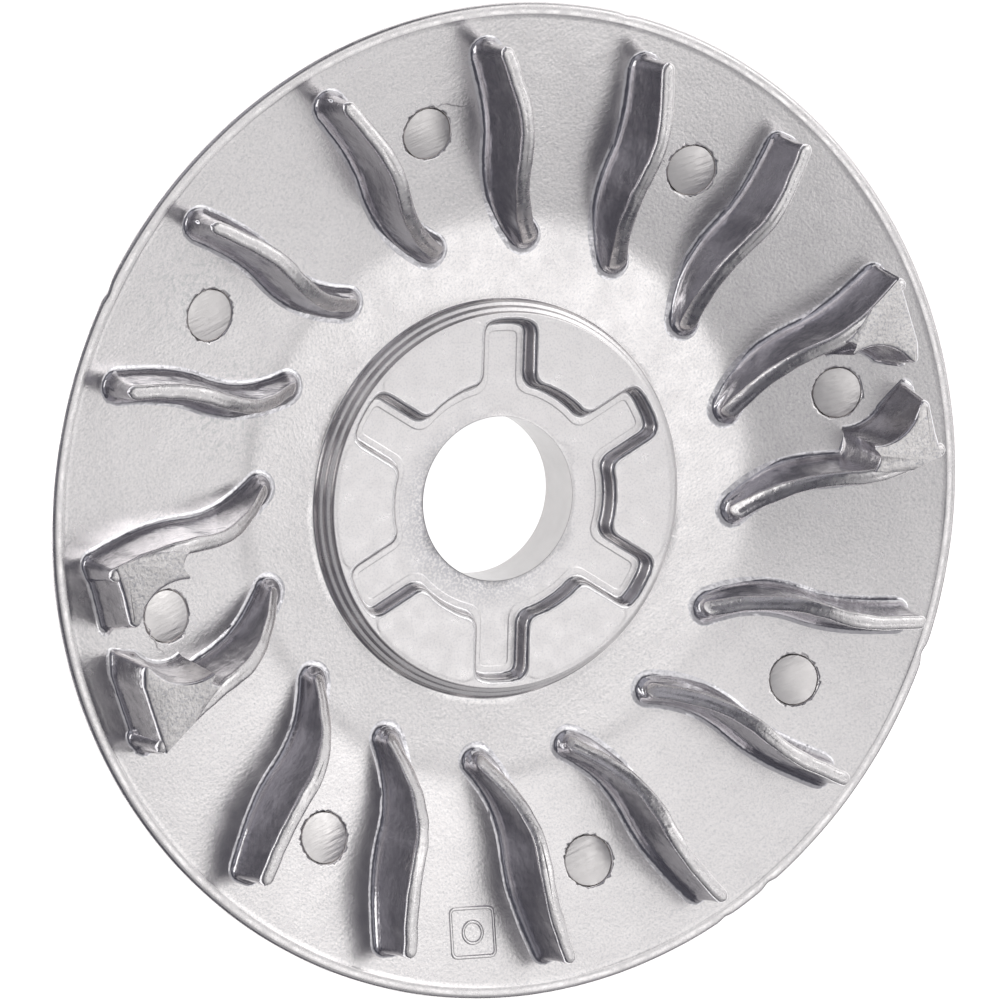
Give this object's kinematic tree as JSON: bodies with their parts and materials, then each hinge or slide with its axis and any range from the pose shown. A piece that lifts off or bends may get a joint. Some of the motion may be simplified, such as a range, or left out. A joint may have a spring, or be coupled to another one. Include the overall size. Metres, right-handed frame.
{
  "type": "fan half pulley",
  "caption": "Cast aluminium fan half pulley: a shallow conical disc with curved blades, a star-shaped drive pocket and a plain centre bore.",
  "frame": {"origin": "centre of the hub's back face, on the bore's axis", "axes": "+Z along the bore's axis towards the fan side, +Y along one arm of the star pocket"},
  "size_m": [0.1134, 0.1134, 0.0183],
  "materials": {
    "cast_skin": "satin as-cast skin with fine sand grain",
    "pocket_skin": "satin as-cast skin",
    "blade_skin": "smooth as-cast skin",
    "pad_face": "brushed",
    "lug_grain": "grainy as-cast skin"
  },
  "bodies": {
    "root": {"web_disc": "cast_skin", "rim_edge": "cast_skin", "hub_boss": "cast_skin", "hub_ring": "cast_skin", "star_land_1": "pocket_skin", "star_land_2": "pocket_skin", "star_land_3": "pocket_skin", "star_land_4": "pocket_skin", "star_land_5": "pocket_skin", "star_land_6": "pocket_skin", "fan_blade_01": "blade_skin", "fan_blade_02": "blade_skin", "fan_blade_03": "blade_skin", "fan_blade_04": "blade_skin", "fan_blade_05": "blade_skin", "fan_blade_06": "blade_skin", "fan_blade_07": "blade_skin", "fan_blade_08": "blade_skin", "fan_blade_09": "blade_skin", "fan_blade_10": "blade_skin", "fan_blade_11": "blade_skin", "fan_blade_12": "blade_skin", "fan_blade_13": "blade_skin", "fan_blade_14": "blade_skin", "fan_blade_15": "blade_skin", "fan_blade_16": "blade_skin", "ejector_pad_1": "pad_face", "ejector_pad_2": "pad_face", "ejector_pad_3": "pad_face", "ejector_pad_4": "pad_face", "ejector_pad_5": "pad_face", "ejector_pad_6": "pad_face", "ejector_pad_7": "pad_face", "ejector_pad_8": "pad_face", "holding_lug_1": "lug_grain", "holding_lug_2": "lug_grain", "holding_lug_3": "lug_grain", "holding_lug_4": "lug_grain", "foundry_mark": "cast_skin"}
  },
  "joints": []
}
